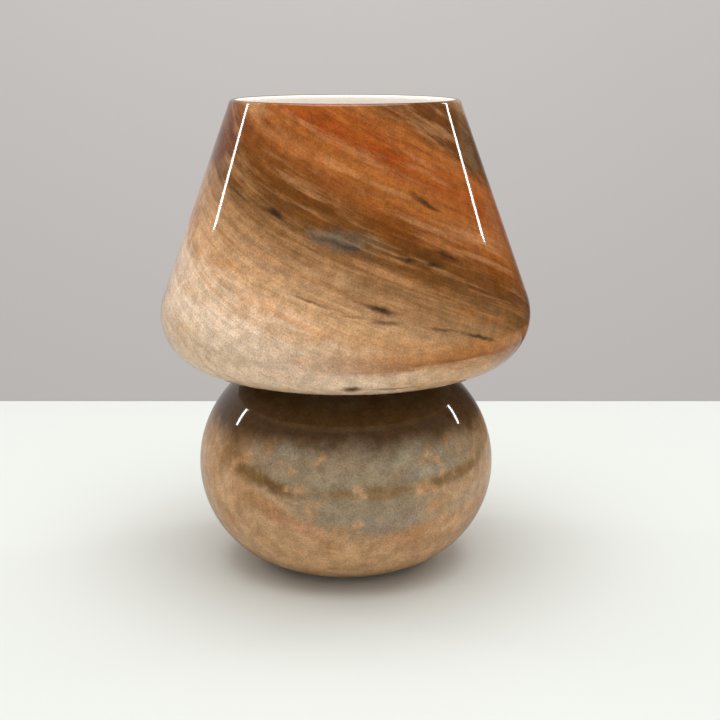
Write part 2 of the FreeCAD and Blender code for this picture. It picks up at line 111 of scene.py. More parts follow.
# %% [markdown]
# ## The camera
#
# The camera stands a little above the lamp's rim and looks down on it.  The outline in the picture gives the
# lens, distance, height and tilt together: they are the ones at which the lamp's rings project to the ellipses
# seen.  The lamp stands a little to the left of the middle, so the camera stands a little to its right.

# %% Place the camera
FRAME_PIXELS = 720
FOCAL_PIXELS = 1350
SENSOR = 36.0
CAMERA_BACK = 686.4 * MM
CAMERA_UP = 268.4 * MM
CAMERA_RIGHT = 7.4 * MM
CAMERA_TILT = 0.2326

camera_data = bpy.data.cameras.new("camera")
camera_data.sensor_width = SENSOR
camera_data.lens = SENSOR * FOCAL_PIXELS / FRAME_PIXELS
camera = bpy.data.objects.new("camera", camera_data)
camera.location = (CAMERA_RIGHT, -CAMERA_BACK, CAMERA_UP)
camera.rotation_euler = (math.pi / 2 - CAMERA_TILT, 0, 0)
bpy.context.scene.collection.objects.link(camera)
bpy.context.scene.camera = camera
print("lens", camera_data.lens, "mm")

# %% [markdown]
# ## The floor and the backdrop
#
# Glass is a mirror as well as a body, so its surroundings are half of its look.  A white table top lies under
# the lamp, and a pale grey backdrop stands behind it.  The table lights the underside of the shade.


# %% Table top and backdrop
def plane(name, corners, surface):
    """A flat stage piece through its four corners."""
    mesh = bpy.data.meshes.new(name)
    mesh.from_pydata(corners, [], [(0, 1, 2, 3)])
    mesh.materials.append(surface)
    piece = bpy.data.objects.new(name, mesh)
    bpy.context.scene.collection.objects.link(piece)
    return piece


TABLE_BACK = 0.31
TABLE_FRONT = -0.5
TABLE_SIDE = 0.7
WALL_BACK = 1.1
WALL_SIDE = 3.0
WALL_LOW, WALL_HIGH = -1.5, 2.6
ROOM_DARK_FROM, ROOM_DARK_TO = 0.15, 0.6


def stage_paint(name, tone, roughness, in_mirror):
    """Plain paint.  Glass mirrors it at in_mirror of its brightness, and hardly at all in the dark right side."""
    paint, tree, shader = new_material(name, Roughness=roughness)
    across = add(tree, "ShaderNodeSeparateXYZ", {0: add(tree, "ShaderNodeTexCoord").outputs["Object"]}).outputs[0]
    dimmed = add(tree, "ShaderNodeMapRange", {"Value": across, "From Min": ROOM_DARK_FROM, "From Max": ROOM_DARK_TO,
                                              "To Min": in_mirror, "To Max": 0.1 * in_mirror}).outputs[0]
    mirrored = mix_colour(tree, 1.0, colour(tone), dimmed, "MULTIPLY")
    glossy = add(tree, "ShaderNodeLightPath").outputs["Is Glossy Ray"]
    tree.links.new(mix_colour(tree, glossy, colour(tone), mirrored), shader.inputs["Base Color"])
    return paint


table_paint = stage_paint("white_table_laminate", "DEE1DC", 0.6, 0.5)
wall_paint = stage_paint("pale_grey_wall_paint", "CDC9C7", 0.9, 0.9)
plane("table_top", [(-TABLE_SIDE, TABLE_FRONT, 0), (TABLE_SIDE, TABLE_FRONT, 0),
                    (TABLE_SIDE, TABLE_BACK, 0), (-TABLE_SIDE, TABLE_BACK, 0)], table_paint)
plane("backdrop", [(-WALL_SIDE, WALL_BACK, WALL_LOW), (WALL_SIDE, WALL_BACK, WALL_LOW),
                   (WALL_SIDE, WALL_BACK, WALL_HIGH), (-WALL_SIDE, WALL_BACK, WALL_HIGH)], wall_paint)

# %% [markdown]
# ## The light
#
# A big soft box hangs overhead, and a soft sky fills the rest.  Two slim strip lights stand left and right, a
# little behind the lamp and leaning back: they draw the long white lines down the shade, and short ones on the
# ball.
# Glass mirrors the room in front of it, and a bright room would lay a grey veil on its colours.  So the sky
# looks dim to reflected rays, as a studio's black cloth behind the camera would.


# %% Soft box and strips
def area_light(name, place, target, size, power, lean=0.0):
    """A rectangular light at place, facing target and leaning over sideways by some degrees."""
    data = bpy.data.lights.new(name, "AREA")
    data.shape = "RECTANGLE"
    data.size, data.size_y = size
    data.energy = power
    lamp = bpy.data.objects.new(name, data)
    lamp.location = place
    facing = (Vector(target) - Vector(place)).to_track_quat("-Z", "Y").to_matrix()
    lamp.rotation_euler = (facing @ Matrix.Rotation(math.radians(lean), 3, "Z")).to_euler()
    bpy.context.scene.collection.objects.link(lamp)
    return lamp


def radiance_power(radiance, size):
    """Watts that give a rectangular light this brightness, where 1 is white."""
    return radiance * math.pi * size[0] * size[1]


SOFT_BOX = (1.5, 1.5)
SOFT_BOX_RADIANCE, STRIP_RADIANCE = 2.7, 20
STRIP_LEFT, STRIP_RIGHT = (0.034, 0.30), (0.034, 0.48)
area_light("soft_box", (0.0, -0.1, 1.5), (0, 0, 0), SOFT_BOX, radiance_power(SOFT_BOX_RADIANCE, SOFT_BOX))
area_light("strip_left", (-0.76, 0.30, 0.505), (-0.06, -0.03, 0.2), STRIP_LEFT,
           radiance_power(STRIP_RADIANCE, STRIP_LEFT), 30)
area_light("strip_right", (0.70, 0.43, 0.53), (0.06, -0.03, 0.2), STRIP_RIGHT,
           radiance_power(STRIP_RADIANCE, STRIP_RIGHT), -40)

SKY = 0.62
SKY_IN_REFLECTIONS = 0.16
world = bpy.data.worlds.new("studio")
bpy.context.scene.world = world
world.use_nodes = True
sky_tree = world.node_tree
sky_tree.nodes.clear()
ray = add(sky_tree, "ShaderNodeLightPath")
sky_strength = add(sky_tree, "ShaderNodeMix", {0: ray.outputs["Is Glossy Ray"], 2: SKY, 3: SKY_IN_REFLECTIONS})
sky = add(sky_tree, "ShaderNodeBackground", {"Color": colour("FFFFFF"), "Strength": sky_strength.outputs[0]})
add(sky_tree, "ShaderNodeOutputWorld", {"Surface": sky.outputs[0]})
bpy.context.scene.view_settings.view_transform = "Standard"

# %% [markdown]
# ## The glass form
#
# The real lamp is blown: a gather of hot glass is turned all the time, so every level is a circle.  The form
# is a turned one too, a section swept round the axis.  The section is a chain of arcs that touch without a
# corner, first up the outside, over the polished rim, and down the inside 4 mm deeper.

# %% Sizes of the glass
glass_low, glass_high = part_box("glass_body")
RIM_TOP = glass_high[2]
FOOT_LEVEL = glass_low[2]
SHADE_RADIUS = glass_high[0]
RIM_RADIUS = 58.0 * MM
SHOULDER_ARC = 26.5 * MM
SHOULDER_RISE = 25.5 * MM
UNDERSIDE_ARC = 40.0 * MM
NECK_RADIUS = 36.5 * MM
NECK_ARC = 4.0 * MM
BASE_RADIUS = 77.0 * MM
BELLY_HEIGHT = 52.5 * MM
BASE_SIDE_ARC = 58.0 * MM
BASE_TOP_ARC = 35.5 * MM
BASE_TOP_TURN = math.radians(42.5)
FOOT_RADIUS = 42.0 * MM
OPENING_RADIUS = 30.0 * MM
WALL = 4.0 * MM
FOOT_THICKNESS = 5.0 * MM
print("glass", round(RIM_TOP / MM, 1), "mm high,", round(2 * SHADE_RADIUS / MM, 1), "mm wide")


# %% Points of the section
def at(centre, radius, angle):
    """Point of a circle in the section, where x is the distance from the axis and y the height."""
    return Vector((centre.x + radius * math.cos(angle), centre.y + radius * math.sin(angle)))


def bearing(start, end):
    return math.atan2(end.y - start.y, end.x - start.x)


def sweep(centre, radius, start, end, spacing=2.0 * MM):
    """Points along an arc of the section, close enough to look round."""
    steps = max(3, math.ceil(abs(end - start) * radius / spacing))
    return [at(centre, radius, start + (end - start) * i / steps) for i in range(steps + 1)]


def run(start, end, spacing=3.0 * MM):
    """Points along a straight stretch of the section, without its ends."""
    steps = max(2, math.ceil((end - start).length / spacing))
    return [start.lerp(end, i / steps) for i in range(1, steps)]


side_centre = Vector((BASE_RADIUS - BASE_SIDE_ARC, BELLY_HEIGHT))
top_centre = at(side_centre, BASE_SIDE_ARC - BASE_TOP_ARC, BASE_TOP_TURN)
neck_across = NECK_RADIUS + NECK_ARC
neck_centre = Vector((neck_across, top_centre.y + math.sqrt(
    (BASE_TOP_ARC + NECK_ARC) ** 2 - (neck_across - top_centre.x) ** 2)))
shoulder_centre = Vector((SHADE_RADIUS - SHOULDER_ARC, neck_centre.y + SHOULDER_RISE))
rim_centre = Vector((RIM_RADIUS - WALL / 2, RIM_TOP - WALL / 2))

reach_a, reach_b = UNDERSIDE_ARC - SHOULDER_ARC, UNDERSIDE_ARC + NECK_ARC
span = neck_centre - shoulder_centre
along = (reach_a ** 2 - reach_b ** 2 + span.length_squared) / (2 * span.length)
across = math.sqrt(reach_a ** 2 - along ** 2)
unit = span.normalized()
underside_centre = shoulder_centre + unit * along + Vector((-unit.y, unit.x)) * -across
if underside_centre.y < neck_centre.y:
    underside_centre = shoulder_centre + unit * along + Vector((-unit.y, unit.x)) * across
cone_normal = bearing(shoulder_centre, rim_centre) - math.acos(
    (SHOULDER_ARC - WALL / 2) / (rim_centre - shoulder_centre).length)
print("neck at", round(neck_centre.y / MM, 1), "mm, shade leans", round(math.degrees(cone_normal), 1), "degrees")


def wall_side(depth, foot_end):
    """One face of the wall from the foot up to the rim, depth inside the outer face."""
    inward = BASE_RADIUS - depth - foot_end.x
    down = BELLY_HEIGHT - foot_end.y
    foot_arc = (inward ** 2 + down ** 2) / (2 * inward)
    foot_centre = Vector((BASE_RADIUS - depth - foot_arc, BELLY_HEIGHT))
    to_shoulder = bearing(underside_centre, shoulder_centre)
    points = sweep(foot_centre, foot_arc, bearing(foot_centre, foot_end), 0)
    points += sweep(side_centre, BASE_SIDE_ARC - depth, 0, BASE_TOP_TURN)[1:]
    points += sweep(top_centre, BASE_TOP_ARC - depth, BASE_TOP_TURN, bearing(top_centre, neck_centre))[1:]
    points += sweep(neck_centre, NECK_ARC + depth, bearing(neck_centre, top_centre) + 2 * math.pi,
                    bearing(neck_centre, underside_centre), 0.8 * MM)[1:]
    points += sweep(underside_centre, UNDERSIDE_ARC - depth, bearing(underside_centre, neck_centre),
                    to_shoulder)[1:]
    points += sweep(shoulder_centre, SHOULDER_ARC - depth, to_shoulder, cone_normal)[1:]
    return points + run(points[-1], at(rim_centre, WALL / 2 - depth, cone_normal))


# %% [markdown]
# ## Turning a section into a mesh
#
# A lathe function sweeps any section round the axis.  It is used for the glass and for every other turned or
# moulded round piece.  Each stretch of the section may carry its own material, and points that lie on the axis
# close the mesh there.


# %% The lathe
def add_piece(name, mesh, surfaces, body):
    """Turns a mesh into a smooth-shaded piece that rides on a body."""
    for surface in surfaces:
        mesh.materials.append(surface)
    for face in mesh.polygons:
        face.use_smooth = True
    piece = bpy.data.objects.new(name, mesh)
    bpy.context.scene.collection.objects.link(piece)
    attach(piece, body)
    return piece


def lathe_mesh(name, stretches, steps=192, relief=None, relief_from=0.0, relief_to=1.0):
    """Mesh of a closed section.  stretches is a list of (points, material index), in order round the section.
    relief, a function of point and angle, adds to the radius of the points between two distances from the axis."""
    ring = []
    slots = []
    for points, slot in stretches:
        for point in points:
            if not ring or (point - ring[-1]).length > 1e-7:
                ring.append(point)
                slots.append(slot)
    build = bmesh.new()
    columns = []
    for point in ring:
        if point.x < 1e-7:
            columns.append([build.verts.new((0, 0, point.y))] * steps)
            continue
        column = []
        for turn in (2 * math.pi * i / steps for i in range(steps)):
            radius = point.x
            if relief and relief_from < point.x < relief_to:
                radius += relief(point, turn)
            column.append(build.verts.new((radius * math.cos(turn), radius * math.sin(turn), point.y)))
        columns.append(column)
    count = len(ring)
    for i in range(count):
        low, high = columns[i], columns[(i + 1) % count]
        for j in range(steps):
            k = (j + 1) % steps
            corners = list(dict.fromkeys((low[j], low[k], high[k], high[j])))
            if len(corners) > 2:
                build.faces.new(corners).material_index = slots[(i + 1) % count]
    mesh = bpy.data.meshes.new(name)
    bmesh.ops.recalc_face_normals(build, faces=build.faces)
    build.to_mesh(mesh)
    build.free()
    return mesh


# %% [markdown]
# ## Cased glass
# Some marks are painted reflections laid into the colour: a pale level band low on the shade, a grey patch high at
# its right edge, and a dark ring and a grey-tan ring round the top of the ball, the dark one over the ball's own
# brown.
#
# The lamp is cased: coloured glass powder and chips are picked up on a white core, covered by clear glass and
# blown out.  The turning pulls the colours into a slow spiral that falls to the right, and stray chips stretch
# into dark dashes.  Over it all lies clear, fire-polished glass, which the eye reads as a sharp gloss with no
# texture of its own.
#
# Three kinds of mark build the pattern.  Bands follow a spiral coordinate, the height plus the angle round the
# axis, so one value of it goes round the lamp.  Clouds are soft ellipses with frayed edges that shift a band's
# colour in one place.  Flecks are the small dark chips.  Strokes, blotches and grain then break everything up.
#
# The shade and the ball get a material each.  One network that held all the marks of both came out black, so
# it is split where they meet, in the shadow of the neck.

# %% Coordinates on the skin
SPIRAL_FALL = 36.0                       # mm that a band falls in a radian round the lamp
SPIRAL_TURN = 2 * math.pi * SPIRAL_FALL  # so the bands repeat after this many mm
SKIN_RADIUS = 80.0                       # mm, flattens angles to lengths on the skin


def math_node(tree, operation, *values):
    """Output of one sum; values may be numbers or outputs."""
    return add(tree, "ShaderNodeMath", dict(enumerate(values)), operation=operation).outputs[0]


def glass_coordinates(tree):
    """Place, angle from the front in radians, height in mm, a flat map of the skin in mm, and twisted space."""
    place = add(tree, "ShaderNodeTexCoord").outputs["Object"]
    axes = add(tree, "ShaderNodeSeparateXYZ", {0: place}).outputs
    angle = math_node(tree, "ARCTAN2", axes[0], math_node(tree, "MULTIPLY", axes[1], -1.0))
    height = math_node(tree, "MULTIPLY", axes[2], 1 / MM)
    flat = add(tree, "ShaderNodeCombineXYZ", {0: math_node(tree, "MULTIPLY", angle, SKIN_RADIUS), 1: height})
    twist = math_node(tree, "MULTIPLY", height, 1 / SPIRAL_FALL)
    turned = add(tree, "ShaderNodeVectorRotate", {"Vector": place, "Angle": twist}, rotation_type="Z_AXIS")
    streaky = add(tree, "ShaderNodeVectorMath", {0: turned.outputs[0], 1: (1, 1, 0.4)}, operation="MULTIPLY")
    return place, angle, height, flat.outputs[0], streaky.outputs[0]


def noise(tree, vector, size, detail=3.0, roughness=0.5):
    """Noise from 0 to 1 whose blotches are size mm across."""
    return add(tree, "ShaderNodeTexNoise", {"Vector": vector, "Scale": 1 / (size * MM), "Detail": detail,
                                            "Roughness": roughness}).outputs[0]


def remap(tree, value, low, high, to_low=0.0, to_high=1.0):
    """Smoothly maps low..high to to_low..to_high."""
    return add(tree, "ShaderNodeMapRange", {"Value": value, "From Min": low, "From Max": high,
                                            "To Min": to_low, "To Max": to_high},
               interpolation_type="SMOOTHSTEP").outputs[0]


def wavering(tree, vector, texture, reach):
    """The vector, pushed about by up to reach mm."""
    centred = add(tree, "ShaderNodeVectorMath", {0: texture, 1: (0.5, 0.5, 0.5)}, operation="SUBTRACT")
    push = add(tree, "ShaderNodeVectorMath", {0: centred.outputs[0], "Scale": 2 * reach}, operation="SCALE")
    return add(tree, "ShaderNodeVectorMath", {0: vector, 1: push.outputs[0]}, operation="ADD").outputs[0]


# %% Clouds and flecks
def cloud(tree, flat, fray, tint, tone, strength, degrees, height, length, width, tilt, soft=0.9):
    """Mixes a tone into tint inside one frayed ellipse: middle, size in mm, fall to the right in degrees."""
    place = add(tree, "ShaderNodeMapping", {
        "Vector": flat, "Location": (math.radians(degrees) * SKIN_RADIUS, height, 0),
        "Rotation": (0, 0, -math.radians(tilt)), "Scale": (length / 2, width / 2, 1)}, vector_type="TEXTURE")
    out = add(tree, "ShaderNodeVectorMath", {0: place.outputs[0]}, operation="LENGTH").outputs["Value"]
    mask = remap(tree, math_node(tree, "ADD", out, fray), 1.0, 1.0 - soft, 0.0, strength)
    return mix_colour(tree, mask, tint, colour(tone))


def bands(tree, level, tones, start, turn):
    """Colour ramp along a coordinate in mm that repeats after a turn."""
    share = math_node(tree, "MULTIPLY", math_node(tree, "SUBTRACT", level, start), 1 / turn)
    ramp = add(tree, "ShaderNodeValToRGB", {0: math_node(tree, "FRACT", share)})
    stops = ramp.color_ramp.elements
    for stop, position in ((stops[0], 0.0), (stops[1], 1.0)):
        stop.position, stop.color = position, colour(tones[0][1])
    for at_level, tone in tones[1:]:
        stops.new((at_level - start) / turn).color = colour(tone)
    return ramp.outputs[0]


# %% Marks on the shade
BAND_START = 60.0
SHADE_BANDS = [(60, "C9A987"), (78, "E3C4A2"), (116, "ECCEB0"), (128, "E2BE9A"), (137, "DCAF85"), (145, "CFA274"),
               (153, "BC9066"), (160, "AB7F54"), (168, "8E6339"), (176, "7E552C"), (183, "74471A"), (191, "794512"),
               (198, "8C4E1C"), (205, "9B5822"), (212, "A86329"), (219, "A75D26"), (227, "A1501A"), (233, "A85A20"),
               (239, "B0662E"), (246, "95541F"), (252, "774416"), (259, "6C3E12"), (272, "6E431B"), (280, "9A7048")]
SHADE_CLOUDS = [  # tone, strength, degrees, height, length, width, tilt, softness
    ("6B2C08", 0.95, -67, 222, 56, 36, 10, 0.7), ("C48A58", 0.8, -46, 238, 40, 12, 14),
    ("B06F3A", 0.7, -40, 230, 60, 10, 16), ("784818", 0.8, -50, 205, 60, 14, 16),
    ("A97038", 0.8, -72, 184, 44, 30, 10), ("BC8650", 0.8, -62, 171, 56, 13, 12),
    ("C89360", 0.7, -44, 168, 50, 10, 14), ("F0D4B6", 0.85, -36, 139, 92, 54, 8),
    ("D0A579", 0.6, -58, 135, 50, 10, 8), ("A88660", 0.7, -82, 140, 34, 60, 0),
    ("9A4006", 0.9, -12, 230, 62, 12, 15), ("B9713A", 0.8, -14, 216, 56, 10, 18),
    ("9B430B", 0.85, 17, 217, 60, 12, 20), ("BC743C", 0.8, 2, 238, 50, 9, 10),
    ("B2692F", 0.7, 4, 212, 56, 10, 16), ("B87440", 0.7, -26, 224, 46, 9, 16),
    ("6F4015", 0.8, -22, 195, 60, 12, 14), ("6C5030", 0.9, 2, 181, 56, 13, 10),
    ("6E5E4C", 0.9, -1, 179, 54, 13, 11), ("4A3A2C", 0.75, 1, 177.5, 40, 3.4, 12),
    ("857664", 0.6, -7, 182.5, 26, 4, 9), ("723A06", 0.9, 20, 184, 50, 14, 18),
    ("A26436", 0.8, 40, 183, 34, 11, 22), ("57330B", 0.9, 28, 171, 56, 13, 20),
    ("8A5420", 0.8, 24, 160, 44, 9, 18), ("A67D54", 0.6, 12, 156, 50, 9, 14),
    ("BE946A", 0.7, -4, 164, 60, 10, 10), ("D3A679", 0.7, -12, 152, 60, 12, 12),
    # The pale cream cloud at 118 mm and the pale tan one at 113 mm lie level low on the shoulder: cream glass
    # brightened by a painted reflection of the white table below.
    ("CF9B69", 0.85, 4, 137, 90, 12, 4), ("E6C3A2", 0.8, -6, 118, 110, 11, 1),
    ("CFA578", 0.7, 28, 113, 60, 10, 4), ("A5571C", 0.7, 42, 205, 60, 22, 24),
    ("66360A", 0.85, 47, 226, 50, 17, 28), ("9C5014", 0.7, 49, 190, 40, 14, 26),
    ("72441A", 0.8, 46, 158, 60, 16, 26), ("955E2A", 0.7, 44, 143, 44, 12, 22),
    # The olive-grey cloud high at the right edge is olive-brown glass greyed by a painted pale reflection.
    ("74583C", 0.9, 66, 216, 36, 52, 20, 0.8), ("A66C42", 0.8, 67, 180, 34, 42, 24),
    ("7A4C26", 0.8, 66, 143, 50, 26, 24), ("B89070", 0.8, 74, 238, 30, 14, 10),
    ("653F18", 0.7, 55, 150, 40, 8, 30),
]
FLECKS = [  # strength, degrees, height, length, width, tilt
    (0.95, -25, 191.4, 20, 5.4, 19), (0.6, -60, 206, 30, 3.0, 29),
    (0.55, -44, 199, 34, 2.4, 22), (0.85, 30.5, 195.5, 26, 5.0, 31),
    (0.9, 21, 170.8, 14, 3.4, 10), (0.85, 29, 168, 15, 3.2, 17),
    (0.9, 35.2, 171.3, 21, 4.2, 24), (0.95, 10.6, 150, 18, 5.0, 22),
    (0.6, 12.4, 144.2, 20, 3.0, 6), (0.5, 3, 147, 18, 2.2, 8),
    (0.5, -10, 153.8, 30, 2.2, 18), (0.85, 42, 133.6, 32, 3.4, 20),
    (0.55, 29, 139.4, 24, 2.2, 12), (0.7, 45.5, 220.6, 40, 3.0, 32),
    (0.95, 2.4, 112, 14, 6.0, 0), (0.55, 16, 111.5, 34, 2.4, 0),
    (0.55, 62, 207, 50, 5, 32),
]

# %% Marks on the ball
BALL_CLOUDS = [  # tone, strength, degrees, height, length, width, tilt, softness
    ("D2A578", 0.8, 0, 15, 260, 22, 0), ("A98A68", 0.9, 52, 70, 76, 40, 0),
    ("9E896E", 0.95, 6, 70, 150, 34, 0, 0.6), ("9A876C", 0.95, 8, 52, 84, 34, 0, 0.7),
    ("A08C76", 0.9, 14, 42, 60, 15, -2), ("8E6A40", 0.8, -50, 72, 26, 26, 30),
    ("7E5A2C", 0.8, -38, 64, 36, 12, 12), ("6E4A18", 0.85, -24, 59, 30, 8, 10),
    ("8A683C", 0.75, 8, 58, 60, 8, 0), ("8A683C", 0.8, 46, 61, 70, 8, -8),
    ("A97B4E", 0.8, -30, 48, 40, 12, 22), ("C6926A", 0.8, -16, 40, 46, 9, 10),
    ("B0A088", 0.7, -22, 77, 30, 8, 6), ("A99A80", 0.7, 26, 74, 60, 12, -2),
    ("ABA08C", 0.6, 34, 66, 40, 7, 0), ("B59A78", 0.7, 52, 47, 50, 12, -10),
    ("A8967A", 0.6, 0, 66, 50, 8, 0), ("C08A5E", 0.6, 30, 35, 60, 10, -8),
]


# %% The cased glass material
def low_band(tree, tint, angle, height, flat):
    """Adds the ochre band that runs level above the shoulder, faint at the left and strong at the right."""
    level_flat = add(tree, "ShaderNodeVectorMath", {0: flat, 1: (0.12 * MM, MM, 0)}, operation="MULTIPLY").outputs[0]
    edge = math_node(tree, "MULTIPLY_ADD", noise(tree, level_flat, 5, 4.0, 0.6), 13.0, -6.5)
    edge = math_node(tree, "ADD", height, edge)
    shape = math_node(tree, "MULTIPLY", remap(tree, edge, 119.0, 123.5), remap(tree, edge, 136.0, 126.0))
    across = remap(tree, angle, math.radians(-28), math.radians(36), 0.1, 0.95)
    deep = mix_colour(tree, remap(tree, edge, 121.0, 129.0), colour("98520F"), colour("C07C3C"))
    return mix_colour(tree, math_node(tree, "MULTIPLY", shape, across), tint, deep)


def spiral_tint(tree, place, angle, height, flat, streaky):
    """Colour of the shade: spiral bands frayed by brush marks, then the clouds."""
    sway = math_node(tree, "MULTIPLY_ADD", noise(tree, streaky, 40, 2.0), 16.0, -8.0)
    brush = math_node(tree, "MULTIPLY_ADD", noise(tree, streaky, 6, 4.0, 0.65), 22.0, -11.0)
    level = math_node(tree, "MULTIPLY_ADD", angle, SPIRAL_FALL, height)
    level = math_node(tree, "ADD", math_node(tree, "ADD", level, sway), brush)
    tint = bands(tree, level, SHADE_BANDS, BAND_START, SPIRAL_TURN)
    wander = add(tree, "ShaderNodeTexNoise", {"Vector": place, "Scale": 1 / (13 * MM), "Detail": 3.0}).outputs[1]
    soft_flat = wavering(tree, flat, wander, 2.4)
    fray = math_node(tree, "MULTIPLY", brush, 0.03)
    for mark in SHADE_CLOUDS:
        tint = cloud(tree, soft_flat, fray, tint, *mark)
    return low_band(tree, tint, angle, height, flat)


def ball_tint(tree, place, height, flat):
    """Colour of the ball: blush glass with a grey lens of cloud, then dark brown towards the neck, partly the glass's
    own brown and partly a painted reflection of the shade's shaded underside, and a grey-tan ring at the neck, a
    painted reflection of the shade's underside.
    """
    puffs = noise(tree, place, 22, 4.0, 0.6)
    wander = add(tree, "ShaderNodeTexNoise", {"Vector": place, "Scale": 1 / (13 * MM), "Detail": 3.0}).outputs[1]
    soft_flat = wavering(tree, flat, wander, 2.4)
    tint = mix_colour(tree, remap(tree, noise(tree, place, 15, 3.0), 0.38, 0.62), colour("BC8F62"), colour("CCA176"))
    fray = math_node(tree, "MULTIPLY_ADD", puffs, 0.3, -0.44)
    for mark in BALL_CLOUDS:
        tint = cloud(tree, soft_flat, fray, tint, *mark)
    puffed = math_node(tree, "MULTIPLY_ADD", puffs, 16.0, height)
    # Dark brown towards the neck: partly the glass's own brown, partly a painted reflection of the shade's shaded
    # underside, which the top of the ball mirrors.
    tint = mix_colour(tree, remap(tree, puffed, 80.0, 93.0, 0.0, 0.95), tint, colour("513617"))
    # The paler grey-tan ring right at the neck is a painted reflection of the shade's underside.
    return mix_colour(tree, remap(tree, puffed, 103.0, 112.0, 0.0, 0.7), tint, colour("846C4C"))


def speckled(tree, tint, place):
    """Blotches, a fine grain and small reddish specks, which the powdered colour has all over."""
    blotch = remap(tree, noise(tree, place, 6, 4.0, 0.65), 0.35, 0.65, 0.86, 1.14)
    grain = remap(tree, noise(tree, place, 0.9, 2.0, 0.8), 0.3, 0.7, 0.82, 1.20)
    for texture in (blotch, grain):
        tint = mix_colour(tree, 1.0, tint, texture, "MULTIPLY")
    warm = remap(tree, noise(tree, place, 4.5, 3.0, 0.6), 0.55, 0.72, 0.0, 0.35)
    tint = mix_colour(tree, warm, tint, mix_colour(tree, 1.0, tint, colour("FFD9B0"), "MULTIPLY"))
    specks = remap(tree, noise(tree, place, 1.5, 1.0, 0.5), 0.70, 0.76, 0.0, 0.45)
    return mix_colour(tree, specks, tint, colour("6A3010"))


def stroked(tree, tint, height, streaky):
    """Fibres and broader pale and dark strokes along the spiral, weaker near the shoulder."""
    upper = remap(tree, height, 124.0, 150.0, 0.4, 1.0)
    fibre = remap(tree, noise(tree, streaky, 4, 4.0, 0.65), 0.3, 0.7, -0.15, 0.15)
    tint = mix_colour(tree, 1.0, tint, math_node(tree, "MULTIPLY_ADD", fibre, upper, 1.0), "MULTIPLY")
    pale = remap(tree, noise(tree, streaky, 13, 4.0, 0.6), 0.50, 0.68, 0.0, 0.42)
    tint = mix_colour(tree, math_node(tree, "MULTIPLY", pale, upper), tint, colour("D39A68"))
    dark = remap(tree, noise(tree, streaky, 9, 4.0, 0.6), 0.46, 0.30, 0.0, 0.40)
    darkened = mix_colour(tree, 1.0, tint, colour("BE9270"), "MULTIPLY")
    return mix_colour(tree, math_node(tree, "MULTIPLY", dark, upper), tint, darkened)


# The shade: bands and clouds, strokes, chips, and a dark line where the colour is rolled in at the rim.
CHIP_TONE, RIM_TONE = "34200F", "4B2E1C"
cased, shade_tree, shade_shader = new_material("cased_glass_shade", Roughness=0.05, IOR=1.5)
place, angle, height, flat, streaky = glass_coordinates(shade_tree)
shade_colour = spiral_tint(shade_tree, place, angle, height, flat, streaky)
shade_colour = speckled(shade_tree, stroked(shade_tree, shade_colour, height, streaky), place)
shaken = add(shade_tree, "ShaderNodeTexNoise", {"Vector": place, "Scale": 1 / (5 * MM), "Detail": 3.0}).outputs[1]
fleck_flat = wavering(shade_tree, flat, shaken, 1.0)
feather = math_node(shade_tree, "MULTIPLY_ADD", noise(shade_tree, streaky, 2.2, 3.0, 0.7), 0.7, -0.35)
for strength, *fleck in FLECKS:
    shade_colour = cloud(shade_tree, fleck_flat, feather, shade_colour, CHIP_TONE, strength, *fleck)
rim_line = remap(shade_tree, height, RIM_TOP / MM - 0.45, RIM_TOP / MM - 0.2, 0.0, 0.85)
shade_tree.links.new(mix_colour(shade_tree, rim_line, shade_colour, colour(RIM_TONE)),
                     shade_shader.inputs["Base Color"])

# The ball: the same glass, but its colours lie in soft clouds and not in a spiral.
ball_glass, ball_tree, ball_shader = new_material("cased_glass_ball", Roughness=0.05, IOR=1.5)
place, _, height, flat, _ = glass_coordinates(ball_tree)
ball_tree.links.new(speckled(ball_tree, ball_tint(ball_tree, place, height, flat), place),
                    ball_shader.inputs["Base Color"])
print("shade and ball glass have", len(shade_tree.nodes), "and", len(ball_tree.nodes), "nodes")

# %% [markdown]
# ## The lining and the ground edges
#
# The inside is opal glass: white, glossy, and soft because light enters it a little way.  Daylight also comes
# through the wall of a real one and fills the inside.  This wall is opaque, so a faint glow of its own stands in
# for that light.  The foot ring and the cord hole are ground, which leaves a fine frosted surface.

# %% Opal lining and ground glass
opal, opal_tree, opal_shader = new_material(
    "opal_glass_lining", Base_Color=colour("F4EEE7"), Roughness=0.12, IOR=1.5, Subsurface_Weight=0.15,
    Emission_Color=colour("FFF3E8"), Emission_Strength=0.13,
    Subsurface_Radius=(2 * MM, 2 * MM, 1.8 * MM), Subsurface_Scale=1.0)
ripple = noise(opal_tree, add(opal_tree, "ShaderNodeTexCoord").outputs["Object"], 22, 2.0)
opal_tree.links.new(add(opal_tree, "ShaderNodeBump", {"Height": ripple, "Strength": 0.15, "Distance": 0.4 * MM}
                        ).outputs[0], opal_shader.inputs["Normal"])
ground, ground_tree, ground_shader = new_material("ground_glass", Roughness=0.55, IOR=1.5)
grit = noise(ground_tree, add(ground_tree, "ShaderNodeTexCoord").outputs["Object"], 0.5, 2.0)
ground_tint = mix_colour(ground_tree, grit, colour("D9CFC2"), colour("EDE6DC"))
ground_tree.links.new(ground_tint, ground_shader.inputs["Base Color"])

# %% [markdown]
# ## Blowing the lamp
#
# The section is now swept round.  The colour ends just inside the rim, where the polishing flame has rounded
# the edge, so a thin dark line of colour shows on the far side of the mouth.  A diamond drill, square to the
# wall, cuts the cord's hole low at the back.

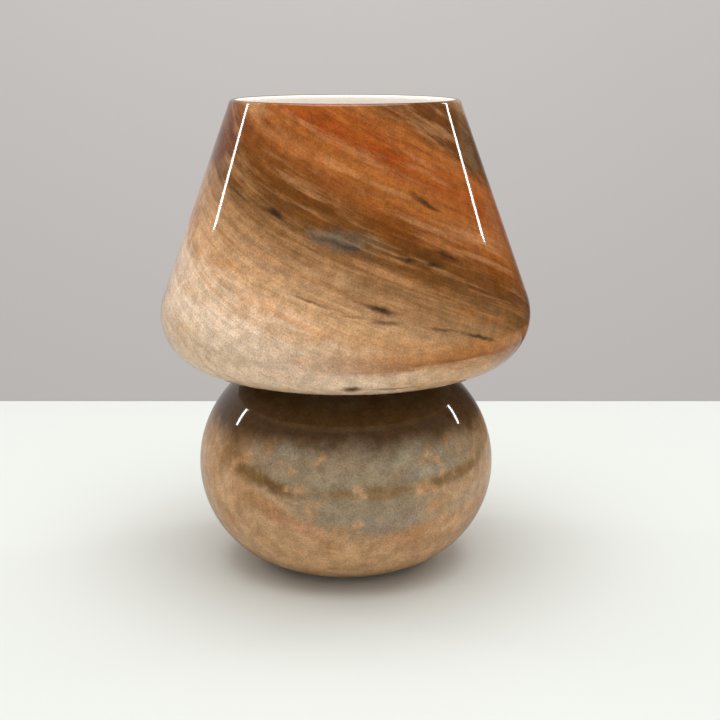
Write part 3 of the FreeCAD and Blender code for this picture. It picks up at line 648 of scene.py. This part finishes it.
# %% Sweep the glass
COLOUR_OVER_RIM = math.radians(31)       # how far past the top of the rim the coloured layer reaches
outer_foot = Vector((FOOT_RADIUS, FOOT_LEVEL))
inner_foot = Vector((OPENING_RADIUS, FOOT_LEVEL + FOOT_THICKNESS))
hole_edge = Vector((OPENING_RADIUS, FOOT_LEVEL))
rim_break = math.pi / 2 + COLOUR_OVER_RIM
stretches = [
    (wall_side(0, outer_foot), 0),
    (sweep(rim_centre, WALL / 2, cone_normal, rim_break, 0.4 * MM), 0),
    (sweep(rim_centre, WALL / 2, rim_break, cone_normal + math.pi, 0.4 * MM), 1),
    (wall_side(WALL, inner_foot)[::-1], 1),
    ([hole_edge, outer_foot + Vector((-0.01 * MM, 0))], 2),
]
glass_mesh = lathe_mesh("cased_glass_body", stretches)
print("glass mesh", len(glass_mesh.polygons), "faces")


# %% Drill the cord's hole
def drilled(mesh, drill):
    """A copy of mesh with the drill's shape cut out of it."""
    blank, cutter = (bpy.data.objects.new(m.name, m) for m in (mesh, drill))
    for thing in (blank, cutter):
        bpy.context.scene.collection.objects.link(thing)
    cut = blank.modifiers.new("drill", "BOOLEAN")
    cut.object, cut.operation, cut.solver = cutter, "DIFFERENCE", "EXACT"
    bpy.context.view_layer.update()
    result = bpy.data.meshes.new_from_object(blank.evaluated_get(bpy.context.evaluated_depsgraph_get()))
    for thing in (blank, cutter):
        bpy.data.objects.remove(thing)
    return result


HOLE_MOUTH = Vector((0, 64.21, 17.37)) * MM      # where the hole's axis meets the outer face
HOLE_DROP = math.radians(40)
HOLE_RADIUS = 5.25 * MM
drill_section = [Vector((0, -16 * MM)), Vector((HOLE_RADIUS, -16 * MM)), Vector((HOLE_RADIUS, 16 * MM)),
                 Vector((0, 16 * MM))]
drill = lathe_mesh("cord_drill", [(drill_section, 2)], steps=64)
drill.transform(Matrix.Translation(HOLE_MOUTH) @ Matrix.Rotation(-math.pi / 2 - HOLE_DROP, 4, "X"))
for mesh in (glass_mesh, drill):
    for surface in (cased, opal, ground, ball_glass):
        mesh.materials.append(surface)
for face in glass_mesh.polygons:
    if face.material_index == 0 and face.center.z < neck_centre.y:
        face.material_index = 3
glass_mesh = drilled(glass_mesh, drill)
glass = add_piece("cased_glass_body", glass_mesh, (), "lamp")
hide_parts("glass_body")
print("drilled glass", len(glass_mesh.polygons), "faces")

# %% [markdown]
# ## Finishes of the fitting
#
# Under the glass everything is standard lamp hardware, and each piece has its own making: enamel sprayed on
# pressed steel, zinc plated in a barrel, brass turned on a lathe, plastic from an eroded mould.  No real
# surface is one flat colour, so each of these finishes wanders between two tones in soft blotches, and has a
# fine relief that its process leaves.


# %% A finish that wanders
def finish(name, tones, blotch, relief, depth, roughness, **sockets):
    """Two tones in blotches of blotch mm, a relief of relief mm grain and depth mm, and a range of roughness."""
    material, tree, shader = new_material(name, **sockets)
    place = add(tree, "ShaderNodeTexCoord").outputs["Object"]
    share = remap(tree, noise(tree, place, blotch, 3.0), 0.35, 0.65)
    tree.links.new(mix_colour(tree, share, colour(tones[0]), colour(tones[1])), shader.inputs["Base Color"])
    tree.links.new(remap(tree, noise(tree, place, blotch / 3, 4.0), 0.3, 0.7, *roughness), shader.inputs["Roughness"])
    bump = add(tree, "ShaderNodeBump", {"Height": noise(tree, place, relief, 2.0), "Distance": depth * MM})
    tree.links.new(bump.outputs[0], shader.inputs["Normal"])
    return material


# Bumpers of clear silicone: the table shows through them, greyed at their edges.
clear_silicone = finish("clear_silicone", ("F4F6F6", "E8ECEC"), 5, 0.6, 0.01, (0.12, 0.25),
                        Transmission_Weight=0.85, IOR=1.41)
# Moulded rubber: matt and even, with a faint bloom.
white_rubber = finish("white_rubber", ("E4E0D6", "D9D5CA"), 6, 0.25, 0.02, (0.55, 0.7), IOR=1.5)
# Silicone is softer and lets some light in.
white_silicone = finish("white_silicone", ("ECEAE4", "E3E0D8"), 8, 0.5, 0.01, (0.38, 0.5), IOR=1.41,
                        Subsurface_Weight=0.2, Subsurface_Radius=(MM, MM, 0.8 * MM), Subsurface_Scale=1.0)
# Stove enamel on pressed steel: glossy, with the low ripple called orange peel.
white_enamel = finish("white_stove_enamel", ("EFEDE6", "E8E6DE"), 14, 1.8, 0.02, (0.2, 0.3), IOR=1.5,
                      Coat_Weight=0.4, Coat_Roughness=0.08)
# Bright zinc: bluish with yellow clouds, and dulled by barrel plating.
zinc_plate = finish("zinc_plated_steel", ("BFC4CB", "CDC8B9"), 5, 0.35, 0.012, (0.26, 0.42), Metallic=1.0)
# Spring brass, rolled into strip.
sheet_brass = finish("rolled_spring_brass", ("D3AC62", "C49B50"), 4, 0.3, 0.006, (0.24, 0.38), Metallic=1.0)
# Polyester moulding: its mould was spark eroded, which leaves a fine even matt.
white_moulding = finish("eroded_white_moulding", ("EFEEE8", "E7E5DD"), 10, 0.18, 0.012, (0.34, 0.44), IOR=1.55,
                        Subsurface_Weight=0.1, Subsurface_Radius=(MM, MM, 0.8 * MM), Subsurface_Scale=1.0)
# Steatite: fired unglazed, cream, dry and gritty.
ceramic = finish("unglazed_steatite", ("EAE2D0", "DCD2BC"), 2.5, 0.2, 0.03, (0.65, 0.8), IOR=1.55)
# Nickel on drawn brass: a warm, soft mirror.
nickel = finish("nickelled_screw_shell", ("D8D4CB", "CBC6BC"), 6, 0.4, 0.008, (0.14, 0.28), Metallic=1.0)
# Vitrite, the black glass poured round a bulb's button.
vitrite = finish("black_vitrite", ("0C0C10", "191820"), 2, 0.7, 0.03, (0.06, 0.14), IOR=1.52)
# Opal polycarbonate: white all through, so light softens in it.
opal_diffuser = finish("opal_polycarbonate", ("F4F2EC", "EFEDE6"), 20, 0.4, 0.006, (0.3, 0.36), IOR=1.58,
                       Subsurface_Weight=0.45, Subsurface_Radius=(5 * MM, 5 * MM, 4 * MM), Subsurface_Scale=1.0)
# White solder mask on the LED board, green on the driver, and silicone gel with yellow phosphor in the chips.
board_mask = finish("white_solder_mask", ("F2F2EE", "E9E9E4"), 6, 0.3, 0.01, (0.3, 0.45), IOR=1.5)
green_mask = finish("green_solder_mask", ("1F5A34", "2B6E42"), 3, 0.5, 0.02, (0.25, 0.4), IOR=1.5)
phosphor = finish("phosphor_gel", ("EBBE35", "F1CE5A"), 0.8, 0.3, 0.02, (0.1, 0.2), IOR=1.41)

# %% Turned brass
# A lathe tool leaves rings, so this relief depends on the distance from the axis and the height alone.
turned_brass, brass_tree, brass_shader = new_material("turned_brass", Metallic=1.0)
brass_place = add(brass_tree, "ShaderNodeTexCoord").outputs["Object"]
brass_axes = add(brass_tree, "ShaderNodeSeparateXYZ", {0: brass_place}).outputs
flat_place = add(brass_tree, "ShaderNodeCombineXYZ", {0: brass_axes[0], 1: brass_axes[1]}).outputs[0]
from_axis = add(brass_tree, "ShaderNodeVectorMath", {0: flat_place}, operation="LENGTH").outputs["Value"]
ring_place = add(brass_tree, "ShaderNodeCombineXYZ", {0: from_axis, 1: brass_axes[2]}).outputs[0]
rings = noise(brass_tree, ring_place, 0.12, 2.0)
tarnish = remap(brass_tree, noise(brass_tree, brass_place, 3.0, 4.0), 0.4, 0.7)
brass_tree.links.new(mix_colour(brass_tree, tarnish, colour("DDB768"), colour("B98F48")),
                     brass_shader.inputs["Base Color"])
brass_tree.links.new(remap(brass_tree, tarnish, 0, 1, 0.18, 0.34), brass_shader.inputs["Roughness"])
ring_bump = add(brass_tree, "ShaderNodeBump", {"Height": rings, "Distance": 0.012 * MM})
brass_tree.links.new(ring_bump.outputs[0], brass_shader.inputs["Normal"])

# %% [markdown]
# ## Dressing the parts that keep their shape
#
# Nuts, washers, contacts and the rest have their true shape already.  They only need their finish, which goes
# into the slots of the part that was loaded.

# %% Finishes on the loaded parts
DRESSED = {
    "foot_pads": clear_silicone, "cord_grommet": white_rubber, "bar_tips": white_rubber,
    "throat_gasket": white_silicone, "cross_bar": zinc_plate, "plate_washer": zinc_plate,
    "tooth_washer": zinc_plate, "holder_insert": zinc_plate, "lock_screw": zinc_plate,
    "plate_nut": turned_brass, "bar_nut": turned_brass, "terminal_screws": turned_brass,
    "bulb_button": turned_brass, "centre_contact": sheet_brass, "side_contact": sheet_brass,
    "holder_cap": white_moulding, "terminal_block": ceramic, "bulb_insulator": vitrite,
    "led_board": board_mask, "led_chips": phosphor, "led_driver": green_mask,
}
for name, surface in DRESSED.items():
    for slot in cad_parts[name].material_slots:
        slot.material = surface
print("dressed", len(DRESSED), "parts")

# %% [markdown]
# ## Softened sections and screw threads
#
# Pressed and moulded edges are never sharp: each corner of a section is rounded a little, so that it catches a
# line of light.  A screw thread is a relief on a turned piece.  Its height depends on how far a point lies
# along the screw, and it fades out at both ends as a cut or rolled thread does.


# %% Rounded sections
def softened(corners):
    """Section through corners of (distance from the axis, height, rounding), all in mm."""
    places = [Vector(corner[:2]) * MM for corner in corners]
    points = []
    for i, (place, corner) in enumerate(zip(places, corners)):
        before, after = places[i - 1], places[(i + 1) % len(places)]
        reach = min(corner[2] * MM, 0.45 * (before - place).length, 0.45 * (after - place).length)
        start, end = (place + (near - place).normalized() * reach for near in (before, after))
        steps = 6 if reach > 0.05 * MM else 1
        for step in range(steps + 1):
            t = step / steps
            points.append(start.lerp(place, t).lerp(place.lerp(end, t), t))
    return points


def filled(points, low, high, spacing):
    """The points, with more on upright stretches between two heights, where a thread needs them."""
    result = []
    for i, point in enumerate(points):
        after = points[(i + 1) % len(points)]
        result.append(point)
        if abs(after.x - point.x) < 1e-6 and min(after.y, point.y) < high and max(after.y, point.y) > low:
            steps = max(1, math.ceil((after - point).length / spacing))
            result += [point.lerp(after, step / steps) for step in range(1, steps)]
    return result


def thread(pitch, depth, low, high, shift=0.0):
    """Relief of a right-handed thread between two heights; all in metres."""
    def relief(point, angle):
        fade = min(1.0, max(0.0, (point.y - low) / pitch), max(0.0, (high - point.y) / pitch))
        return fade * (depth * math.sin(2 * math.pi * (point.y / pitch - angle / (2 * math.pi))) + shift)
    return relief


# %% The pressed plate, the tube and the socket
plate = add_piece("throat_plate", lathe_mesh("throat_plate", [(softened([
    (5.2, 107.89, 0.2), (24, 107.89, 3.5), (29, 116.39, 1.2), (46.2, 116.39, 0.1), (46.2, 115.39, 0.1),
    (47.7, 115.39, 0.4), (47.7, 117.89, 1.6), (28.25, 117.89, 2.6), (23.25, 109.39, 2.0), (5.2, 109.39, 0.2),
]), 0)]), (white_enamel,), "lamp")
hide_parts("throat_plate")

TUBE_PITCH = 1.0 * MM
TUBE_LOW, TUBE_HIGH = (corner.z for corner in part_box("threaded_tube"))
tube_section = softened([(3.7, 87.39, 0.2), (4.4, 87.39, 0.1), (5, 87.99, 0.1), (5, 120.79, 0.1), (4.4, 121.39, 0.1),
                         (3.7, 121.39, 0.2)])
tube = add_piece("threaded_tube", lathe_mesh(
    "threaded_tube", [(filled(tube_section, TUBE_LOW, TUBE_HIGH, 0.12 * MM), 0)], 72,
    thread(TUBE_PITCH, 0.14 * MM, TUBE_LOW, TUBE_HIGH, -0.15 * MM), 4.2 * MM), (turned_brass,), "lamp")
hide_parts("threaded_tube")

BULB_PITCH = 2.82 * MM
BULB_THREAD = 0.3 * MM
socket_section = softened([
    (10.3, 137.39, 0.3), (12.1, 137.39, 0.4), (12.1, 140.39, 0.1), (14, 140.39, 0.4), (14, 162.39, 1.6),
    (7.3, 162.39, 1.2), (7.3, 153.89, 0.2), (10.3, 153.89, 0.3)])
socket = add_piece("holder_skirt", lathe_mesh(
    "holder_skirt", [(filled(socket_section, 153.9 * MM, 161 * MM, 0.25 * MM), 0)], 144,
    thread(BULB_PITCH, BULB_THREAD, 153.9 * MM, 161.4 * MM), 0.0, 8.0 * MM), (white_moulding,), "lamp")
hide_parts("holder_skirt")
print("tube", len(tube.data.polygons), "socket", len(socket.data.polygons), "faces")

# %% [markdown]
# ## The bulb
#
# A small globe lamp with an E14 cap.  Its screw shell is rolled from nickelled brass, and its thread has the
# socket's pitch and the socket's phase, so the two stay clear of each other as the bulb turns and climbs.

# %% Shell, collar and globe
shell_section = softened([(5.7, 147.64, 0.1), (6.05, 147.64, 0.3), (6.85, 148.44, 0.5), (6.85, 163.39, 0.1),
                          (6.5, 163.39, 0.1), (6.5, 148.44, 0.3), (6.05, 147.99, 0.2), (5.7, 147.99, 0.1)])
shell = add_piece("bulb_shell", lathe_mesh(
    "bulb_shell", [(filled(shell_section, 148.5 * MM, 158 * MM, 0.2 * MM), 0)], 144,
    thread(BULB_PITCH, BULB_THREAD, 148.6 * MM, 157.9 * MM)), (nickel,), "bulb")
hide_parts("bulb_shell")

collar = add_piece("bulb_collar", lathe_mesh("bulb_collar", [(softened([
    (4.8, 158.39, 0.2), (6.4, 158.39, 0.2), (6.4, 163.39, 0.2), (12, 163.39, 1.6), (17.83, 183.39, 0.5),
    (14.7, 183.39, 0.2), (14.7, 180.39, 0.2), (12.6, 180.39, 0.4), (9.6, 166.59, 0.8), (4.8, 166.59, 0.4),
]), 0)]), (white_moulding,), "bulb")
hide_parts("bulb_collar")

GLOBE_RADIUS = 22.5 * MM
GLOBE_WALL = 1.2 * MM
globe_centre = Vector((0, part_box("bulb_globe")[1].z - GLOBE_RADIUS))
globe_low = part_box("bulb_globe")[0].z
outer_start, inner_start = (-math.asin((globe_centre.y - globe_low) / radius)
                            for radius in (GLOBE_RADIUS, GLOBE_RADIUS - GLOBE_WALL))
globe = add_piece("bulb_globe", lathe_mesh("bulb_globe", [
    (sweep(globe_centre, GLOBE_RADIUS, outer_start, math.pi / 2, 0.8 * MM), 0),
    (sweep(globe_centre, GLOBE_RADIUS - GLOBE_WALL, math.pi / 2, inner_start, 0.8 * MM), 0),
]), (opal_diffuser,), "bulb")
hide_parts("bulb_globe")
print("bulb", sum(len(piece.data.polygons) for piece in (shell, collar, globe)), "faces")
